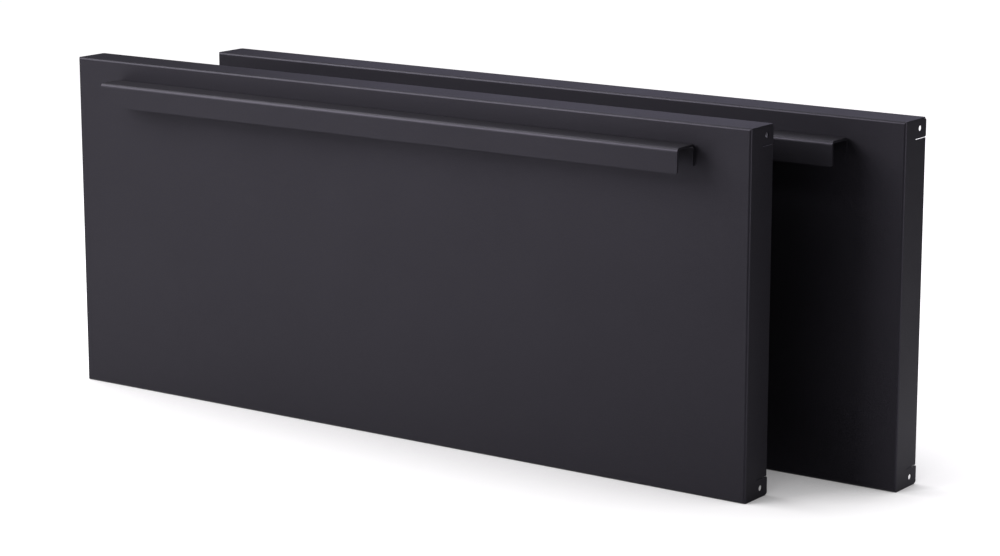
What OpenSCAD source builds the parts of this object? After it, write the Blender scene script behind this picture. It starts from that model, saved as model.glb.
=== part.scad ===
// A matching pair of black sheet-steel drawer fronts for a built-in kitchen appliance.
// Each front is a shallow tray, open at the back, with a full-width channel handle.
// The near front stands ahead of the far one; both rest on their bottom edges.
// X runs along the width, Y from front to back and Z up.
// The origin is on the ground, at the middle of the pair.

/* [Front] */
// Width of one front
front_w = 900; // [760:1:1000]
// Height of one front
front_h = 384; // [340:1:460]
// Depth of the folded edges
front_d = 43; // [40:1:55]
// Thickness of the face sheet
sheet_t = 1; // [0.8:0.1:1.2]
// Outside radius of the bends round the face
bend_r = 2.5; // [2:0.1:3.5]

/* [Fixing tabs] */
// Height of the springy tab at each rear corner
tab_h = 20; // [18:0.5:24]
// Length of the slit that frees a tab
slit_len = 21; // [18:0.5:24]
// Width of the slit below a top tab
top_slit_w = 0.9; // [0.6:0.1:2.4]
// Width of the slit above a bottom tab
bottom_slit_w = 0.3; // [0.2:0.1:2.4]
// Diameter of the fixing hole in a tab
tab_hole_d = 6; // [5:0.1:7]
// Distance from the rear edge to the fixing hole
tab_hole_inset = 12.5; // [11:0.5:14]
// Outward lean of the bottom tabs, in degrees
bottom_tab_lean = 2.4; // [0:0.1:3]
// Outward lean of the top tabs, in degrees
top_tab_lean = 1.2; // [0:0.1:3]

/* [Handle] */
// Length of the handle
handle_len = 770; // [600:1:850]
// Distance from the face to the front of the handle
handle_out = 33; // [28:0.5:40]
// Height of the lip that the fingers pull
lip_h = 26; // [24:0.5:32]
// Height of the leg that lies against the face
back_leg_h = 22; // [20:0.5:24]
// Distance from the top of the front to the top of the handle
handle_drop = 21; // [19:0.5:40]
// Wall thickness of the handle
handle_t = 2.5; // [2:0.1:3]
// Outside radius of the handle's long edges
handle_r = 4.5; // [3.5:0.1:6]
// Number of screws that hold one handle
handle_screws_n = 5; // [3:1:7]

/* [Stiffening] */
// Height of the rails along the top and bottom
rail_h = 18; // [12:0.5:18]
// Depth of the rails
rail_d = 34; // [20:1:35]
// Width over the flanges of an upright stiffener
hat_w = 60; // [50:1:80]
// Width of the raised part of an upright stiffener
hat_top_w = 30; // [24:1:40]
// Depth of an upright stiffener
hat_d = 22; // [15:1:28]
// Thickness of the rail and stiffener sheet
frame_t = 1; // [0.8:0.1:1.5]
// Thickness of the bonding tape
tape_t = 1; // [0.5:0.1:1.5]
// Width of the bonding tape
tape_w = 12; // [8:1:14]
// Thickness of the damping pads
pad_t = 2; // [1:0.5:4]

/* [Standing pair] */
// Clear gap between the near front's rear edge and the far front's face
gap = 82; // [60:1:160]
// Distance that the far front stands further to the right
stagger = 105; // [0:1:200]

/* [Hidden] */
$fn = 48;
cut = 1;
coat = "#2d2b30";
galvanised = "#a9aeb1";
zinc = "#c4c6c8";
bitumen = "#1d1e1f";
tape_grey = "#55585b";

overlap = 0.01;

// Butt seams at the corners, open as a hairline and welded shut behind the face
corner_gap = 0.2;
seam_w = sheet_t + corner_gap;
seam_start = 6;

// Springy tabs at the rear corners
tab_corner_r = 2.2;
tab_hole_z = tab_h / 2;
tab_reach = 3;
slit_end_widening = 1.6;

// Handle and its fixings: M5 screws into clinch nuts pressed into the back leg
handle_top = front_h - handle_drop;
lip_corner_r = 2;
screw_drop = 13;
screw_end_inset = 45;
screw_z = handle_top - screw_drop;
screw_pitch = (handle_len - 2 * screw_end_inset) / (handle_screws_n - 1);
screw_r = 2.45;
screw_len = 11;
nut_bore_r = 2.5;
nut_shank_r = 3.5;
nut_head_r = 4.75;
nut_head_h = 2;
nut_recess = 0.2;
press_gap = 0.02;
leg_hole_r = nut_shank_r + press_gap;
passage_r = 2.75;
washer_r = 5;
washer_t = 1;
screw_head_r = 4.75;
screw_head_h = 2.75;
socket_across = 3;
socket_depth = 1.6;
strip_h = 24;
strip_t = 2;
strip_overhang = 10;
strip_len = handle_len + 2 * strip_overhang;

// Inner frame: the rails stop short of the tabs, and the hats short of the rails
rail_end_gap = 7;
rail_len = front_w - 2 * (slit_len + rail_end_gap);
frame_bend_r = 2;
face_back = sheet_t;
frame_front = face_back + tape_t;
rail_bottom = sheet_t;
rail_top = front_h - sheet_t - rail_h;
hat_gap = 2;
hat_bottom = rail_bottom + rail_h + hat_gap;
hat_h = screw_z - strip_h / 2 - hat_gap - hat_bottom;
hat_pitch = front_w / 4;
pads_n = 4;
pad_side_gap = 15;
pad_end_gap = 45;
pad_w = hat_pitch - hat_w - 2 * pad_side_gap;
pad_h = hat_h - 2 * pad_end_gap;
pad_corner_r = 8;

// The pair
face_pitch = front_d + gap;
pair_d = handle_out + face_pitch + front_d;
near_place = [-stagger / 2, handle_out - pair_d / 2, 0];
far_place = near_place + [stagger, face_pitch, 0];

FRONTS = ["near", "far"];
PLACES = [near_place, far_place];
HATS = ["left", "centre", "right"];
PIECES = concat(
    ["skin", "handle", "clinch_nuts", "handle_screws", "handle_washers", "backing_strip"],
    ["top_rail", "bottom_rail", for (hat = HATS) str("stiffener_", hat)],
    ["bonding_tape", "damping_pads"]
);

// A rectangle centred on X whose two corners at y = 0 are round
module channel_outline(width, depth, radius) {
    translate([-width / 2, radius])
        square([width, depth - radius]);
    translate([radius - width / 2, 0])
        square([width - 2 * radius, radius + overlap]);
    for (side = [-1, 1])
        translate([side * (width / 2 - radius), radius])
            circle(radius);
}

// A sheet channel seen from its end, with its web at y = 0 and its legs towards +Y
module channel_section(width, depth, sheet, radius) {
    difference() {
        channel_outline(width, depth, radius);
        translate([0, sheet])
            channel_outline(width - 2 * sheet, depth, radius - sheet);
    }
}

// Turns an outline in the Z-Y plane into a bar along X, centred on the origin
module along_x(length) {
    translate([-length / 2, 0, 0])
        rotate([0, 90, 0])
            linear_extrude(length)
                children();
}

// A block whose four front edges are round
module folded_block(width, height, depth, radius) {
    intersection() {
        translate([0, 0, -height / 2])
            linear_extrude(height)
                channel_outline(width, depth, radius);
        along_x(width)
            channel_outline(height, depth, radius);
    }
}

// Repeats a shape made for the right side on both sides
module both_sides() {
    for (side = [0, 1])
        mirror([side, 0, 0])
            children();
}

// Turns a shape made for the bottom edge over onto the top edge
module at_top() {
    translate([0, 0, front_h])
        mirror([0, 0, 1])
            children();
}

// A tab at the right bottom rear corner, leaning outward from its root
module corner_tab(lean) {
    translate([front_w / 2 - sheet_t, front_d - slit_len, 0])
        rotate([0, 0, -lean])
            difference() {
                translate([0, 0, seam_w])
                    cube([sheet_t, slit_len, tab_h - seam_w]);
                for (low = [0, 1])
                    translate([-cut, slit_len, low ? tab_h : seam_w])
                        mirror([0, 0, low])
                            rotate([0, 90, 0])
                                linear_extrude(sheet_t + 2 * cut)
                                    mirror([1, 0])
                                        round_corner(tab_corner_r);
            }
}

// What a rounding of radius r removes from a corner that points to +Y and -X
module round_corner(radius) {
    difference() {
        translate([-cut, -radius])
            square([radius + cut, radius + cut]);
        translate([radius, -radius])
            circle(radius);
    }
}

// The room that a tab, its slit and the corner seam take out of the folded sheet at the
// right bottom edge: the side stops short of the bottom sheet, which runs the full width
module corner_room(slit_w) {
    translate([front_w / 2 - seam_w, front_d - slit_len, sheet_t])
        cube([seam_w + cut, slit_len + cut, tab_h + slit_w - sheet_t]);
    translate([front_w / 2 - seam_w, front_d - slit_len, tab_h + slit_w / 2])
        rotate([0, 90, 0])
            cylinder(h = seam_w + cut, r = slit_end_widening * slit_w / 2);
    translate([front_w / 2 - seam_w, seam_start, sheet_t])
        cube([seam_w + cut, front_d, corner_gap]);
    translate([front_w / 2, front_d, -cut])
        linear_extrude(sheet_t + 2 * cut)
            mirror([1, 0])
                round_corner(tab_corner_r);
}

// The round fixing holes, drilled straight across both tabs of one edge
module tab_holes() {
    translate([-front_w / 2 - tab_reach, front_d - tab_hole_inset, tab_hole_z])
        rotate([0, 90, 0])
            cylinder(h = front_w + 2 * tab_reach, d = tab_hole_d);
}

// Places a shape at each handle screw, on the outside of the face
module at_screws() {
    for (i = [0 : handle_screws_n - 1])
        translate([(i - (handle_screws_n - 1) / 2) * screw_pitch, 0, screw_z])
            children();
}

// A round bar from front to back: y_front is its front end
module bar_y(radius, y_front, length) {
    translate([0, y_front, 0])
        rotate([-90, 0, 0])
            cylinder(h = length, r = radius);
}

module skin() {
    color(coat)
        difference() {
            union() {
                difference() {
                    translate([0, 0, front_h / 2])
                        difference() {
                            folded_block(front_w, front_h, front_d, bend_r);
                            translate([0, sheet_t, 0])
                                folded_block(
                                    front_w - 2 * sheet_t, front_h - 2 * sheet_t,
                                    front_d, bend_r - sheet_t
                                );
                        }
                    both_sides() corner_room(bottom_slit_w);
                    at_top() both_sides() corner_room(top_slit_w);
                }
                both_sides() corner_tab(bottom_tab_lean);
                at_top() both_sides() corner_tab(top_tab_lean);
            }
            tab_holes();
            at_top() tab_holes();
            at_screws() bar_y(passage_r, -cut, sheet_t + 2 * cut);
        }
}

// The handle seen from its end: the long leg is the lip, the short one lies on the face
module handle_section() {
    difference() {
        channel_section(handle_out, lip_h, handle_t, handle_r);
        translate([-handle_out / 2 - cut, back_leg_h])
            square([handle_t + 2 * cut, lip_h]);
    }
}

module handle() {
    color(coat)
        difference() {
            translate([-handle_len / 2, -handle_out / 2, handle_top])
                rotate([-90, 0, -90])
                    linear_extrude(handle_len)
                        handle_section();
            both_sides()
                translate([handle_len / 2, handle_t + cut - handle_out, handle_top - lip_h])
                    rotate([90, 0, 0])
                        linear_extrude(handle_t + 2 * cut)
                            rotate(180)
                                round_corner(lip_corner_r);
            at_screws() bar_y(leg_hole_r, -handle_t - cut, handle_t + 2 * cut);
        }
}

module clinch_nuts() {
    color(zinc)
        at_screws()
            difference() {
                union() {
                    bar_y(nut_head_r, -handle_t - nut_head_h, nut_head_h);
                    bar_y(nut_shank_r, -handle_t - overlap, handle_t + overlap - nut_recess);
                }
                bar_y(nut_bore_r, -handle_t - nut_head_h - cut, handle_t + nut_head_h + 2 * cut);
            }
}

module handle_screws() {
    under_head = face_back + strip_t + washer_t;
    color(zinc)
        at_screws()
            difference() {
                union() {
                    bar_y(screw_r, under_head - screw_len, screw_len + overlap);
                    bar_y(screw_head_r, under_head, screw_head_h);
                }
                translate([0, under_head + screw_head_h - socket_depth, 0])
                    rotate([-90, 0, 0])
                        cylinder(h = socket_depth + cut, d = socket_across / cos(30), $fn = 6);
            }
}

module handle_washers() {
    color(zinc)
        at_screws()
            difference() {
                bar_y(washer_r, face_back + strip_t, washer_t);
                bar_y(passage_r, face_back + strip_t - cut, washer_t + 2 * cut);
            }
}

module backing_strip() {
    color(galvanised)
        difference() {
            translate([-strip_len / 2, face_back, screw_z - strip_h / 2])
                cube([strip_len, strip_t, strip_h]);
            at_screws() bar_y(passage_r, face_back - cut, strip_t + 2 * cut);
        }
}

module rail(bottom) {
    color(galvanised)
        translate([0, frame_front, bottom + rail_h / 2])
            along_x(rail_len)
                channel_section(rail_h, rail_d, frame_t, frame_bend_r);
}

// A hat section with its flanges at y = 0 and its raised part towards +Y
module hat_section() {
    difference() {
        union() {
            translate([0, hat_d])
                mirror([0, 1])
                    channel_outline(hat_top_w, hat_d, frame_bend_r);
            translate([-hat_w / 2, 0])
                square([hat_w, frame_t]);
        }
        translate([0, hat_d - frame_t])
            mirror([0, 1])
                channel_outline(hat_top_w - 2 * frame_t, hat_d, frame_bend_r - frame_t);
    }
}

module stiffener(x) {
    color(galvanised)
        translate([x, frame_front, hat_bottom])
            linear_extrude(hat_h)
                hat_section();
}

// One strip of tape on the inside of the face
module tape_strip(x, bottom, size) {
    translate([x - size[0] / 2, face_back, bottom])
        cube([size[0], tape_t, size[1]]);
}

module bonding_tape() {
    color(tape_grey) {
        for (bottom = [rail_bottom, rail_top])
            tape_strip(0, bottom + (rail_h - tape_w) / 2, [rail_len, tape_w]);
        for (x = [-hat_pitch, 0, hat_pitch], side = [-1, 1])
            tape_strip(x + side * (hat_w - tape_w) / 2, hat_bottom, [tape_w, hat_h]);
    }
}

module damping_pads() {
    color(bitumen)
        for (i = [0 : pads_n - 1])
            translate([(i - (pads_n - 1) / 2) * hat_pitch, face_back, hat_bottom + hat_h / 2])
                rotate([-90, 0, 0])
                    linear_extrude(pad_t) {
                        square([pad_w, pad_h - 2 * pad_corner_r], center = true);
                        square([pad_w - 2 * pad_corner_r, pad_h], center = true);
                        for (sx = [-1, 1], sy = [-1, 1])
                            translate([sx * (pad_w / 2 - pad_corner_r), sy * (pad_h / 2 - pad_corner_r)])
                                circle(pad_corner_r);
                    }
}

for (i = [0 : len(FRONTS) - 1])
    translate(PLACES[i]) {
        skin();
        handle();
        clinch_nuts();
        handle_screws();
        handle_washers();
        backing_strip();
        rail(rail_top);
        rail(rail_bottom);
        for (k = [0 : len(HATS) - 1])
            stiffener((k - 1) * hat_pitch);
        bonding_tape();
        damping_pads();
    }
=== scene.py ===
"""Looks of a pair of black sheet-steel drawer fronts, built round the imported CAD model.

Everything is in metres, in the CAD model's own frame: X along the width, Y from front
to back, Z up, with the origin on the ground at the middle of the pair.
"""

import math

import bmesh
import bpy
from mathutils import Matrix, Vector


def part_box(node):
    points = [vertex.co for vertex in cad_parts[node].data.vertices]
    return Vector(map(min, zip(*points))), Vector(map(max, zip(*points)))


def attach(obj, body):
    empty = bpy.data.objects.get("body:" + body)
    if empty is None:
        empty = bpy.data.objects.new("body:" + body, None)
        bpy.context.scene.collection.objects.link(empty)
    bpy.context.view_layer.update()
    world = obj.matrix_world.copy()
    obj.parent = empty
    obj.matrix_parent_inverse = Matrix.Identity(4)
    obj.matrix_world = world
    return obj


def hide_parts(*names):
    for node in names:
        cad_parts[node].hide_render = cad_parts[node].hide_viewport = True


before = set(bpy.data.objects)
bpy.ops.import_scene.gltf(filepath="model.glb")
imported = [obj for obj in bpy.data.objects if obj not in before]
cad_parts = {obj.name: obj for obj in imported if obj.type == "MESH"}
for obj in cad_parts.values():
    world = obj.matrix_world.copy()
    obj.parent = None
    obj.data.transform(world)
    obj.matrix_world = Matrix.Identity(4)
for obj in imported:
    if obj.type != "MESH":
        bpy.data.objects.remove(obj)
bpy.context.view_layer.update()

MM = 0.001
FRONTS = ("near", "far")
STIFFENERS = ("left", "centre", "right")


# ---------------------------------------------------------------- camera and stage

CAMERA_AZIMUTH = math.radians(35.23)
CAMERA_ELEVATION = math.radians(12.16)
CAMERA_DISTANCE = 3.147
CAMERA_LENS_MM = 104.5
CAMERA_TARGET = Vector((0.0473, 0.0, 0.1788))


def make_camera():
    """The three-quarter view from the front right, a little above the tops."""
    back = Vector((
        math.sin(CAMERA_AZIMUTH) * math.cos(CAMERA_ELEVATION),
        -math.cos(CAMERA_AZIMUTH) * math.cos(CAMERA_ELEVATION),
        math.sin(CAMERA_ELEVATION),
    ))
    data = bpy.data.cameras.new("camera")
    data.lens = CAMERA_LENS_MM
    data.sensor_width = 36.0
    camera = bpy.data.objects.new("camera", data)
    bpy.context.scene.collection.objects.link(camera)
    camera.location = CAMERA_TARGET + back * CAMERA_DISTANCE
    camera.rotation_euler = (-back).to_track_quat("-Z", "Y").to_euler()
    bpy.context.scene.camera = camera


class Nodes:
    """A node tree with short calls to add a node, set its inputs and join it up."""

    def __init__(self, tree):
        self.tree = tree
        tree.nodes.clear()

    def add(self, kind, inputs=None, **settings):
        node = self.tree.nodes.new(kind)
        for key, value in settings.items():
            setattr(node, key, value)
        for key, value in (inputs or {}).items():
            if isinstance(value, bpy.types.NodeSocket):
                self.tree.links.new(value, node.inputs[key])
            else:
                node.inputs[key].default_value = value
        return node


STUDIO_FILL = 0.03


def make_world():
    """A nearly dark studio for what the object reflects, and white behind it."""
    world = bpy.data.worlds.new("studio")
    bpy.context.scene.world = world
    world.use_nodes = True
    n = Nodes(world.node_tree)
    path = n.add("ShaderNodeLightPath")
    studio = n.add("ShaderNodeBackground", {"Color": (0.9, 0.88, 1.0, 1),
                                             "Strength": STUDIO_FILL})
    white = n.add("ShaderNodeBackground", {"Color": (1, 1, 1, 1), "Strength": 1.0})
    mix = n.add("ShaderNodeMixShader", {0: path.outputs["Is Camera Ray"],
                                        1: studio.outputs[0], 2: white.outputs[0]})
    n.add("ShaderNodeOutputWorld", {"Surface": mix.outputs[0]})


FLOOR_HALF = 14.0
FLOOR_DROP = 0.2 * MM
FLOOR_ALBEDO = 0.80
# Reach and power of the painted contact shadow that ambient occlusion puts on the floor.
CONTACT_REACH = 0.35
CONTACT_POWER = 1.5
# A glowing patch painted on the floor, a painted light that only the fronts' reflections see.
GLOW_PATCH = (0.72, 0.30, 0.0)
GLOW_PATCH_RADIUS = 0.5
GLOW_PATCH_RADIANCE = 0.5


def make_floor():
    """A white sweep that the fronts stand on.

    The camera sees it burnt out, with painted shade close to the fronts from ambient occlusion.
    What the fronts reflect is a plain white sheet, with a painted glowing patch behind their right end.
    """
    mesh = bpy.data.meshes.new("floor")
    mesh.from_pydata([(x * FLOOR_HALF, y * FLOOR_HALF, -FLOOR_DROP)
                      for x, y in ((-1, -1), (1, -1), (1, 1), (-1, 1))], [], [(0, 1, 2, 3)])
    floor = bpy.data.objects.new("floor", mesh)
    bpy.context.scene.collection.objects.link(floor)
    material = bpy.data.materials.new("white_sweep")
    material.use_nodes = True
    n = Nodes(material.node_tree)
    where = n.add("ShaderNodeTexCoord").outputs["Object"]
    # Painted light: the patch emits by itself and is lit by no lamp.
    offset = n.add("ShaderNodeVectorMath", {0: where, 1: GLOW_PATCH}, operation="DISTANCE")
    patch = n.add("ShaderNodeMapRange", {"Value": offset.outputs["Value"], "From Min": 0.0,
                                         "From Max": GLOW_PATCH_RADIUS,
                                         "To Min": GLOW_PATCH_RADIANCE, "To Max": 0.0},
                  interpolation_type="SMOOTHSTEP")
    paper = n.add("ShaderNodeBsdfDiffuse", {"Color": (FLOOR_ALBEDO, FLOOR_ALBEDO, FLOOR_ALBEDO, 1)})
    patch_glow = n.add("ShaderNodeEmission", {"Color": (1, 1, 1, 1), "Strength": patch.outputs[0]})
    reflected = n.add("ShaderNodeAddShader", {0: paper.outputs[0], 1: patch_glow.outputs[0]})
    # Painted shade: the glow the camera sees is dimmed by ambient occlusion near the fronts, a painted
    # contact shadow on the floor.
    open_sky = n.add("ShaderNodeAmbientOcclusion", {"Distance": CONTACT_REACH}, samples=16)
    painted_shade = n.add("ShaderNodeMath", {0: open_sky.outputs["AO"], 1: CONTACT_POWER},
                  operation="POWER")
    sheet = n.add("ShaderNodeBsdfDiffuse", {"Color": (0.58, 0.57, 0.58, 1)})
    glow_with_painted_shade = n.add("ShaderNodeEmission", {"Color": (1.0, 0.99, 1.0, 1), "Strength": painted_shade.outputs[0]})
    pictured = n.add("ShaderNodeAddShader", {0: sheet.outputs[0], 1: glow_with_painted_shade.outputs[0]})
    path = n.add("ShaderNodeLightPath")
    surface = n.add("ShaderNodeMixShader", {0: path.outputs["Is Camera Ray"],
                                            1: reflected.outputs[0], 2: pictured.outputs[0]})
    under = n.add("ShaderNodeBsdfTransparent")
    side = n.add("ShaderNodeNewGeometry")
    shown = n.add("ShaderNodeMixShader", {0: side.outputs["Backfacing"],
                                          1: surface.outputs[0], 2: under.outputs[0]})
    n.add("ShaderNodeOutputMaterial", {"Surface": shown.outputs[0]})
    mesh.materials.append(material)


NEUTRAL = (1.0, 1.0, 1.0)
COOL = (0.78, 0.74, 1.0)
LIGHT_DISTANCE = 2.2
LIGHT_CENTRE = Vector((0.0, 0.0, 0.2))
LOW_LIGHT_HEIGHT = 0.55
LOW_ELEVATION = 10
LOW_LIGHT_SIZE = (1.15, 0.9)
HIGH_LIGHT_SIZE = (1.15, 1.15)

# name, degrees round from the front towards the left, degrees up, radiance, colour
SOFTBOXES = (
    ("key_front", 30, 35, 7.2, NEUTRAL),
    ("key_left", 60, 35, 4.5, NEUTRAL),
    ("low_front", 30, 10, 1.7, NEUTRAL),
    ("high_left", 90, 60, 3.2, NEUTRAL),
    ("low_right", 270, 10, 3.3, NEUTRAL),
    ("low_back", 180, 10, 0.95, COOL),
    ("back", 180, 35, 0.25, COOL),
    ("high_back", 180, 60, 1.3, NEUTRAL),
    ("low_back_left", 150, 10, 0.5, COOL),
    ("back_left", 150, 35, 0.55, COOL),
)


def make_softbox(name, bearing, elevation, radiance, colour):
    """A soft light that faces the fronts; a low one stands upright on the floor."""
    low = elevation <= LOW_ELEVATION
    width, height = LOW_LIGHT_SIZE if low else HIGH_LIGHT_SIZE
    bearing, elevation = math.radians(bearing), math.radians(elevation)
    away = Vector((-math.sin(bearing) * math.cos(elevation),
                   -math.cos(bearing) * math.cos(elevation), math.sin(elevation)))
    place = LIGHT_CENTRE + LIGHT_DISTANCE * away
    target = LIGHT_CENTRE.copy()
    if low:
        place.z = target.z = LOW_LIGHT_HEIGHT
    data = bpy.data.lights.new(name, "AREA")
    data.shape = "RECTANGLE"
    data.size, data.size_y = width, height
    data.energy = radiance * math.pi * width * height
    data.color = colour
    light = bpy.data.objects.new(name, data)
    bpy.context.scene.collection.objects.link(light)
    light.location = place
    light.rotation_euler = (target - place).to_track_quat("-Z", "Y").to_euler()
    light.visible_camera = False


def make_lights():
    for settings in SOFTBOXES:
        make_softbox(*settings)


# ---------------------------------------------------------------- materials


def new_material(name):
    material = bpy.data.materials.new(name)
    material.use_nodes = True
    return material, Nodes(material.node_tree)


def finish_material(n, shader_inputs):
    shader = n.add("ShaderNodeBsdfPrincipled", shader_inputs)
    n.add("ShaderNodeOutputMaterial", {"Surface": shader.outputs[0]})


def noise(n, where, scale, detail=2.0, roughness=0.5):
    """Noise with grains about 1/scale metres across."""
    return n.add("ShaderNodeTexNoise", {"Vector": where, "Scale": scale, "Detail": detail,
                                        "Roughness": roughness}).outputs["Fac"]


def spread(n, value, low, high, start=0.0, end=1.0):
    """Maps value from start..end to low..high."""
    return n.add("ShaderNodeMapRange", {"Value": value, "From Min": start, "From Max": end,
                                        "To Min": low, "To Max": high}).outputs[0]


def blend_colour(n, factor, first, second):
    mix = n.add("ShaderNodeMix", data_type="RGBA")
    for socket, value in ((mix.inputs[0], factor), (mix.inputs[6], first), (mix.inputs[7], second)):
        if isinstance(value, bpy.types.NodeSocket):
            n.tree.links.new(value, socket)
        else:
            socket.default_value = value
    return mix.outputs[2]


def edge_mask(n, reach):
    """Near 1 along outside and inside edges, 0 on flat faces."""
    rounded = n.add("ShaderNodeBevel", {"Radius": reach}, samples=4)
    true = n.add("ShaderNodeNewGeometry")
    turn = n.add("ShaderNodeVectorMath", {0: rounded.outputs[0], 1: true.outputs["Normal"]},
                 operation="DOT_PRODUCT")
    return spread(n, turn.outputs["Value"], 1.0, 0.0, 0.75, 0.99)


def bend_mask(n):
    """1 on bends, where the sheet faces neither along X, Y nor Z, and 0 on flat faces."""
    facing = n.add("ShaderNodeTexCoord").outputs["Normal"]
    size = n.add("ShaderNodeVectorMath", {0: facing}, operation="ABSOLUTE")
    parts = n.add("ShaderNodeSeparateXYZ", {0: size.outputs[0]})
    wide = n.add("ShaderNodeMath", {0: parts.outputs[0], 1: parts.outputs[1]}, operation="MAXIMUM")
    most = n.add("ShaderNodeMath", {0: wide.outputs[0], 1: parts.outputs[2]}, operation="MAXIMUM")
    return spread(n, most.outputs[0], 1.0, 0.0, 0.97, 0.995)


def powder_coat():
    """Fine-textured matte black powder coat."""
    material, n = new_material("black_powder_coat")
    where = n.add("ShaderNodeTexCoord").outputs["Object"]
    grain = noise(n, where, 1400, 3.0, 0.6)
    pebble = noise(n, where, 420, 2.0, 0.5)
    handling = noise(n, where, 9, 4.0, 0.55)
    cloud = noise(n, where, 3.2, 2.0, 0.5)
    wear = edge_mask(n, 0.6 * MM)
    base = blend_colour(n, spread(n, cloud, 0, 1, 0.35, 0.65),
                        (0.0024, 0.0022, 0.0027, 1), (0.0036, 0.0033, 0.0040, 1))
    fleck = blend_colour(n, spread(n, grain, 0, 1, 0.62, 0.8), base, (0.0090, 0.0086, 0.0100, 1))
    worn = blend_colour(n, spread(n, wear, 0.0, 0.55), fleck, (0.0125, 0.0120, 0.0138, 1))
    uneven = n.add("ShaderNodeMath", {0: spread(n, handling, 0.505, 0.565, 0.3, 0.7),
                                      1: spread(n, pebble, -0.02, 0.02)}, operation="ADD")
    rough = n.add("ShaderNodeMath", {0: uneven.outputs[0],
                                     1: spread(n, bend_mask(n), 0.0, 0.10)}, operation="SUBTRACT")
    texture = n.add("ShaderNodeMath", {0: grain, 1: pebble}, operation="ADD")
    bump = n.add("ShaderNodeBump", {"Height": texture.outputs[0], "Strength": 0.6,
                                    "Distance": 0.15 * MM})
    finish_material(n, {"Base Color": worn, "Roughness": rough.outputs[0],
                        "Specular Tint": (0.85, 0.79, 1.0, 1), "Normal": bump.outputs[0]})
    return material


def galvanised_steel():
    """Hot-dip galvanised sheet: a soft spangle over a dull metal."""
    material, n = new_material("galvanised_sheet")
    where = n.add("ShaderNodeTexCoord").outputs["Object"]
    warp = n.add("ShaderNodeTexNoise", {"Vector": where, "Scale": 60.0, "Detail": 2.0})
    bent = n.add("ShaderNodeVectorMath", {0: warp.outputs["Color"], 1: (0.004, 0.004, 0.004)},
                 operation="MULTIPLY")
    moved = n.add("ShaderNodeVectorMath", {0: where, 1: bent.outputs[0]}, operation="ADD")
    flakes = n.add("ShaderNodeTexVoronoi", {"Vector": moved.outputs[0], "Scale": 130.0})
    tone = n.add("ShaderNodeSeparateColor", {0: flakes.outputs["Color"]})
    dust = noise(n, where, 24, 5.0, 0.6)
    base = blend_colour(n, tone.outputs[0], (0.40, 0.42, 0.44, 1), (0.58, 0.60, 0.61, 1))
    dulled = blend_colour(n, spread(n, dust, 0.0, 0.6, 0.45, 0.8), base, (0.36, 0.37, 0.37, 1))
    bright = blend_colour(n, spread(n, edge_mask(n, 0.5 * MM), 0.0, 0.7), dulled, (0.72, 0.73, 0.74, 1))
    rough = n.add("ShaderNodeMath", {0: spread(n, tone.outputs[1], 0.34, 0.52),
                                     1: spread(n, dust, -0.05, 0.12, 0.3, 0.8)}, operation="ADD")
    bump = n.add("ShaderNodeBump", {"Height": tone.outputs[2], "Strength": 0.12,
                                    "Distance": 0.05 * MM})
    finish_material(n, {"Base Color": bright, "Metallic": 1.0, "Roughness": rough.outputs[0],
                        "Normal": bump.outputs[0]})
    return material


def zinc_plate():
    """Bright zinc plate with a faint warm and cool cast."""
    material, n = new_material("zinc_plate")
    where = n.add("ShaderNodeTexCoord").outputs["Object"]
    cast = noise(n, where, 160, 2.0)
    marks = noise(n, where, 2200, 3.0, 0.6)
    base = blend_colour(n, spread(n, cast, 0, 1, 0.35, 0.65),
                        (0.60, 0.61, 0.64, 1), (0.66, 0.64, 0.56, 1))
    worn = blend_colour(n, spread(n, edge_mask(n, 0.3 * MM), 0.0, 0.6), base, (0.78, 0.78, 0.78, 1))
    bump = n.add("ShaderNodeBump", {"Height": marks, "Strength": 0.1, "Distance": 0.02 * MM})
    finish_material(n, {"Base Color": worn, "Metallic": 1.0,
                        "Roughness": spread(n, marks, 0.22, 0.38, 0.3, 0.7),
                        "Normal": bump.outputs[0]})
    return material


def foam_tape():
    """Dark grey closed-cell acrylic foam tape."""
    material, n = new_material("foam_tape")
    where = n.add("ShaderNodeTexCoord").outputs["Object"]
    cells = noise(n, where, 2600, 3.0, 0.7)
    tone = noise(n, where, 40, 3.0)
    base = blend_colour(n, spread(n, tone, 0, 1, 0.3, 0.7),
                        (0.060, 0.063, 0.067, 1), (0.085, 0.088, 0.092, 1))
    bump = n.add("ShaderNodeBump", {"Height": cells, "Strength": 0.5, "Distance": 0.08 * MM})
    finish_material(n, {"Base Color": base, "Roughness": spread(n, cells, 0.7, 0.9),
                        "Normal": bump.outputs[0]})
    return material


def damping_pad():
    """Bituminous damping sheet, dusted with talc in random patches."""
    material, n = new_material("damping_pad")
    where = n.add("ShaderNodeTexCoord").outputs["Object"]
    talc = noise(n, where, 70, 5.0, 0.65)
    crumb = noise(n, where, 1100, 3.0, 0.7)
    base = blend_colour(n, spread(n, talc, 0.0, 0.7, 0.45, 0.8),
                        (0.012, 0.012, 0.013, 1), (0.045, 0.045, 0.046, 1))
    bump = n.add("ShaderNodeBump", {"Height": crumb, "Strength": 0.4, "Distance": 0.15 * MM})
    finish_material(n, {"Base Color": base, "Roughness": spread(n, talc, 0.55, 0.8),
                        "Normal": bump.outputs[0]})
    return material


# ---------------------------------------------------------------- the CAD nodes' finish


def soften(piece, width, limit=math.radians(50)):
    """Rounds a CAD node's cut edges and keeps its flat faces flat."""
    bevel = piece.modifiers.new("cut_edges", "BEVEL")
    bevel.width = width
    bevel.segments = 2
    bevel.limit_method = "ANGLE"
    bevel.angle_limit = limit
    bevel.harden_normals = True
    bevel.use_clamp_overlap = True


def dress(name, material, edge):
    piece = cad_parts[name]
    piece.data.materials.clear()
    piece.data.materials.append(material)
    soften(piece, edge)


# ---------------------------------------------------------------- pieces built here

FIXINGS_PER_HANDLE = 5
ROUND_STEPS = 36


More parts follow.
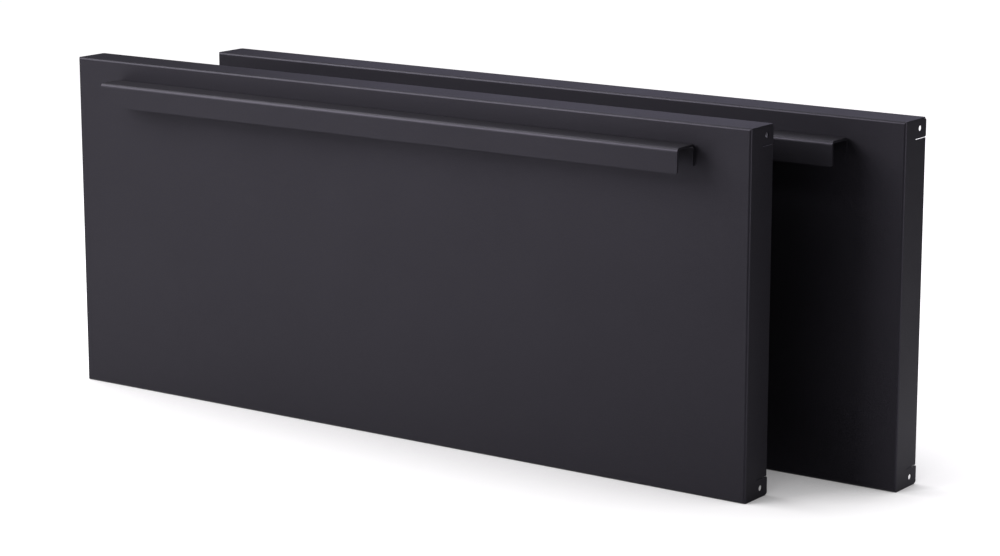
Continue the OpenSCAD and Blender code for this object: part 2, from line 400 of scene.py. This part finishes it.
def ring(centre, y, radius):
    """Points round the Y axis through centre; radius is a number or a function of the angle."""
    points = []
    for i in range(ROUND_STEPS):
        angle = math.tau * i / ROUND_STEPS
        r = radius(angle) if callable(radius) else radius
        points.append((centre.x + r * math.cos(angle), y, centre.z + r * math.sin(angle)))
    return points


def skin_rings(bm, rings, close_first=False, close_last=False, loop=False):
    """Joins rings of equally many points with quads."""
    rows = [[bm.verts.new(point) for point in points] for points in rings]
    if loop:
        rows.append(rows[0])
    for low, high in zip(rows, rows[1:]):
        for i, corner in enumerate(low):
            j = (i + 1) % len(low)
            bm.faces.new((corner, high[i], high[j], low[j]))
    if close_first:
        bm.faces.new(rows[0])
    if close_last:
        bm.faces.new(rows[-1][::-1])


def make_piece(name, bm, material, body, replaced, smooth_angle=math.radians(35)):
    """Turns a bmesh into a piece that rides on a body and stands for a CAD node."""
    bmesh.ops.recalc_face_normals(bm, faces=bm.faces)
    mesh = bpy.data.meshes.new(name)
    bm.to_mesh(mesh)
    bm.free()
    mesh.materials.append(material)
    mesh.shade_smooth()
    mesh.set_sharp_from_angle(angle=smooth_angle)
    piece = bpy.data.objects.new(name, mesh)
    bpy.context.scene.collection.objects.link(piece)
    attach(piece, body)
    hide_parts(replaced)
    return piece


def fixing_centres(low, high):
    """The axes of the fixings whose CAD node fills the box from low to high."""
    radius = (high[2] - low[2]) / 2
    first = low[0] + radius
    pitch = (high[0] - low[0] - 2 * radius) / (FIXINGS_PER_HANDLE - 1)
    return [Vector((first + i * pitch, 0, low[2] + radius)) for i in range(FIXINGS_PER_HANDLE)]


def make_screws(front):
    """M5 button-head screws with rolled threads and hexagon sockets."""
    node = f"{front}_handle_screws"
    low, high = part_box(node)
    pitch, crest, root = 0.8 * MM, 2.45 * MM, 2.02 * MM
    head_r, head_h, rim_h, flat_r = 4.75 * MM, 2.75 * MM, 0.35 * MM, 2.25 * MM
    socket_half, socket_depth, socket_cone = 1.5 * MM, 1.6 * MM, 0.3 * MM
    point, neck = 0.5 * MM, 0.7 * MM
    rows_per_turn, dome_rows = 8, 6
    tip, top = low[1], high[1]
    seat = top - head_h

    def thread(y):
        def radius(angle):
            phase = ((y - tip) / pitch - angle / math.tau) % 1.0
            height = min(max((abs(2 * phase - 1) - 0.1) / 0.75, 0.0), 1.0)
            return root + (crest - root) * height
        return radius

    def hexagon(scale):
        def radius(angle):
            turn = math.tau / 6
            return scale * socket_half / math.cos((angle % turn) - turn / 2)
        return radius

    bm = bmesh.new()
    for centre in fixing_centres(low, high):
        rings = [ring(centre, tip, root - 0.25 * MM)]
        rows = int((seat - neck - tip - point) / pitch * rows_per_turn)
        for i in range(rows + 1):
            y = tip + point + i * pitch / rows_per_turn
            rings.append(ring(centre, y, thread(y)))
        rings.append(ring(centre, seat - 0.4 * MM, crest - 0.1 * MM))
        rings.append(ring(centre, seat, crest - 0.1 * MM))
        rings.append(ring(centre, seat, head_r - 0.12 * MM))
        rings.append(ring(centre, seat + 0.12 * MM, head_r))
        for i in range(dome_rows + 1):
            t = math.pi / 2 * i / dome_rows
            rings.append(ring(centre, seat + rim_h + (head_h - rim_h) * math.sin(t),
                              flat_r + (head_r - flat_r) * math.cos(t)))
        rings.append(ring(centre, top, hexagon(1.1)))
        rings.append(ring(centre, top - 0.15 * MM, hexagon(1.0)))
        rings.append(ring(centre, top - socket_depth, hexagon(1.0)))
        rings.append(ring(centre, top - socket_depth - socket_cone, 0.3 * MM))
        skin_rings(bm, rings, close_first=True, close_last=True)
    make_piece(f"{front}_threaded_screws", bm, zinc, f"{front}_front", node)


def make_nuts(front):
    """Clinch nuts: a chamfered head and a ribbed shank pressed into the handle's leg."""
    node = f"{front}_clinch_nuts"
    low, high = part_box(node)
    head_r, head_h, shank_r, bore_r = 4.75 * MM, 2.0 * MM, 3.5 * MM, 2.5 * MM
    chamfer, groove_r, groove = 0.35 * MM, 3.6 * MM, 0.15 * MM
    ribs = 18
    start, end = low[1], high[1]
    under = start + head_h

    def ribbed(angle):
        return shank_r - 0.15 * MM * (1 + math.cos(ribs * angle)) / 2

    def knurled(angle):
        return head_r - 0.12 * MM * (1 + math.cos(2 * ribs * angle)) / 2

    bm = bmesh.new()
    for centre in fixing_centres(low, high):
        rings = [
            ring(centre, start + chamfer, bore_r),
            ring(centre, start, bore_r + chamfer),
            ring(centre, start, groove_r - groove),
            ring(centre, start + groove, groove_r),
            ring(centre, start, groove_r + groove),
            ring(centre, start, head_r - chamfer),
            ring(centre, start + chamfer, head_r),
            ring(centre, start + chamfer + 0.1 * MM, knurled),
            ring(centre, under - 0.1 * MM, knurled),
            ring(centre, under, head_r - 0.1 * MM),
            ring(centre, under, ribbed),
            ring(centre, end - 0.2 * MM, ribbed),
            ring(centre, end, shank_r - 0.3 * MM),
            ring(centre, end, bore_r),
        ]
        skin_rings(bm, rings, loop=True)
    make_piece(f"{front}_ribbed_clinch_nuts", bm, zinc, f"{front}_front", node)


PADS_PER_FRONT = 4
PAD_WIDTH = 135 * MM
PAD_CORNER = 8 * MM
PAD_CORNER_STEPS = 6


def pad_outline(low, high):
    """A rectangle in the X-Z plane with round corners, as a list of points."""
    points = []
    corners = ((high[0], high[1]), (low[0], high[1]), (low[0], low[1]), (high[0], low[1]))
    for turn, (x, z) in enumerate(corners):
        cx = x - math.copysign(PAD_CORNER, x - (low[0] + high[0]) / 2)
        cz = z - math.copysign(PAD_CORNER, z - (low[1] + high[1]) / 2)
        for i in range(PAD_CORNER_STEPS + 1):
            angle = math.pi / 2 * (turn + i / PAD_CORNER_STEPS)
            points.append((cx + PAD_CORNER * math.cos(angle), cz + PAD_CORNER * math.sin(angle)))
    return points


def make_pads(front):
    """Damping pads with a pressed waffle on the side away from the face.

    Only the four-sided cells are pressed, so the cells at the round corners stay flat.
    """
    node = f"{front}_damping_pads"
    low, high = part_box(node)
    cell, rib, dent = 9 * MM, 1.3 * MM, 0.55 * MM
    pitch = (high[0] - low[0] - PAD_WIDTH) / (PADS_PER_FRONT - 1)
    bm = bmesh.new()
    for i in range(PADS_PER_FRONT):
        left, right = low[0] + i * pitch, low[0] + i * pitch + PAD_WIDTH
        outline = pad_outline((left, low[2]), (right, high[2]))
        face = bm.faces.new([bm.verts.new((x, high[1], z)) for x, z in outline])
        cells = [face]
        for axis, start, end in ((0, left, right), (2, low[2], high[2])):
            count = round((end - start) / cell)
            for k in range(1, count):
                place, normal = Vector(), Vector()
                place[axis] = start + (end - start) * k / count
                normal[axis] = 1.0
                parts = set(cells)
                parts.update(e for f in cells for e in f.edges)
                parts.update(v for f in cells for v in f.verts)
                cut = bmesh.ops.bisect_plane(bm, geom=list(parts), plane_co=place, plane_no=normal)
                cells = [g for g in cut["geom"] if isinstance(g, bmesh.types.BMFace)]
        rim = [e for e in {e for f in cells for e in f.edges} if len(e.link_faces) == 1]
        wall = bmesh.ops.extrude_edge_only(bm, edges=rim)["geom"]
        for vert in (g for g in wall if isinstance(g, bmesh.types.BMVert)):
            vert.co.y = low[1]
        base = [g for g in wall if isinstance(g, bmesh.types.BMEdge) and len(g.link_faces) == 1]
        bmesh.ops.edgeloop_fill(bm, edges=base)
        roomy = [f for f in cells if len(f.verts) == 4]
        bmesh.ops.recalc_face_normals(bm, faces=bm.faces)
        bmesh.ops.inset_individual(bm, faces=roomy, thickness=rib / 2, depth=0.0, use_even_offset=True)
        bmesh.ops.inset_individual(bm, faces=roomy, thickness=dent, depth=-dent, use_even_offset=True)
    piece = make_piece(f"{front}_waffle_pads", bm, bitumen, f"{front}_front", node,
                       smooth_angle=math.radians(50))
    soften(piece, 0.12 * MM, math.radians(30))


make_camera()
make_world()
make_floor()
make_lights()

coat = powder_coat()
galvanised = galvanised_steel()
zinc = zinc_plate()
tape = foam_tape()
bitumen = damping_pad()

for front in FRONTS:
    dress(f"{front}_skin", coat, 0.25 * MM)
    dress(f"{front}_handle", coat, 0.5 * MM)
    dress(f"{front}_backing_strip", galvanised, 0.2 * MM)
    dress(f"{front}_top_rail", galvanised, 0.2 * MM)
    dress(f"{front}_bottom_rail", galvanised, 0.2 * MM)
    for side in STIFFENERS:
        dress(f"{front}_stiffener_{side}", galvanised, 0.2 * MM)
    dress(f"{front}_handle_washers", zinc, 0.15 * MM)
    dress(f"{front}_bonding_tape", tape, 0.15 * MM)
    make_screws(front)
    make_nuts(front)
    make_pads(front)

bpy.context.scene.view_settings.view_transform = "Standard"
